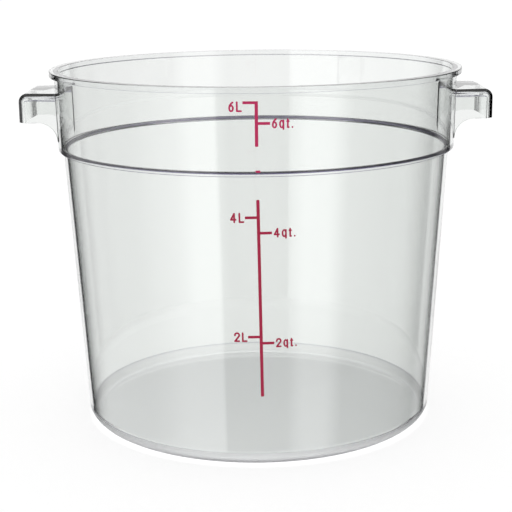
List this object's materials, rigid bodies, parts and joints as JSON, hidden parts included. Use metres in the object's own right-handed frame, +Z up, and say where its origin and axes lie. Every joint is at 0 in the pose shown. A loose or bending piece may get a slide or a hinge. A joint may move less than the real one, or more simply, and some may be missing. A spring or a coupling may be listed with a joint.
{
  "type": "dough proofing container",
  "caption": "Round clear plastic dough proofing container with a stacking ledge, a lid rim, open ear handles and a printed volume scale in litres and quarts.",
  "frame": {"origin": "centre of the flat underside, on the surface that the container stands on", "axes": "+Z up along the axis of the round body, X through the two handles, the printed scale facing -Y"},
  "size_m": [0.2558, 0.2256, 0.196],
  "materials": {
    "clear_polycarbonate": "clear, glossy, moulded, faintly violet in its thick edges, the base slightly frosted",
    "crimson_ink": "screen-printed ink, satin"
  },
  "bodies": {
    "root": {"tub": "clear_polycarbonate", "scale_line_upper": "crimson_ink", "scale_line_lower": "crimson_ink", "ledge_dab": "crimson_ink", "tick_6_litre": "crimson_ink", "tick_6_quart": "crimson_ink", "tick_4_litre": "crimson_ink", "tick_4_quart": "crimson_ink", "tick_2_litre": "crimson_ink", "tick_2_quart": "crimson_ink", "caption_6_litre": "crimson_ink", "caption_6_quart": "crimson_ink", "caption_4_litre": "crimson_ink", "caption_4_quart": "crimson_ink", "caption_2_litre": "crimson_ink", "caption_2_quart": "crimson_ink"}
  },
  "joints": []
}
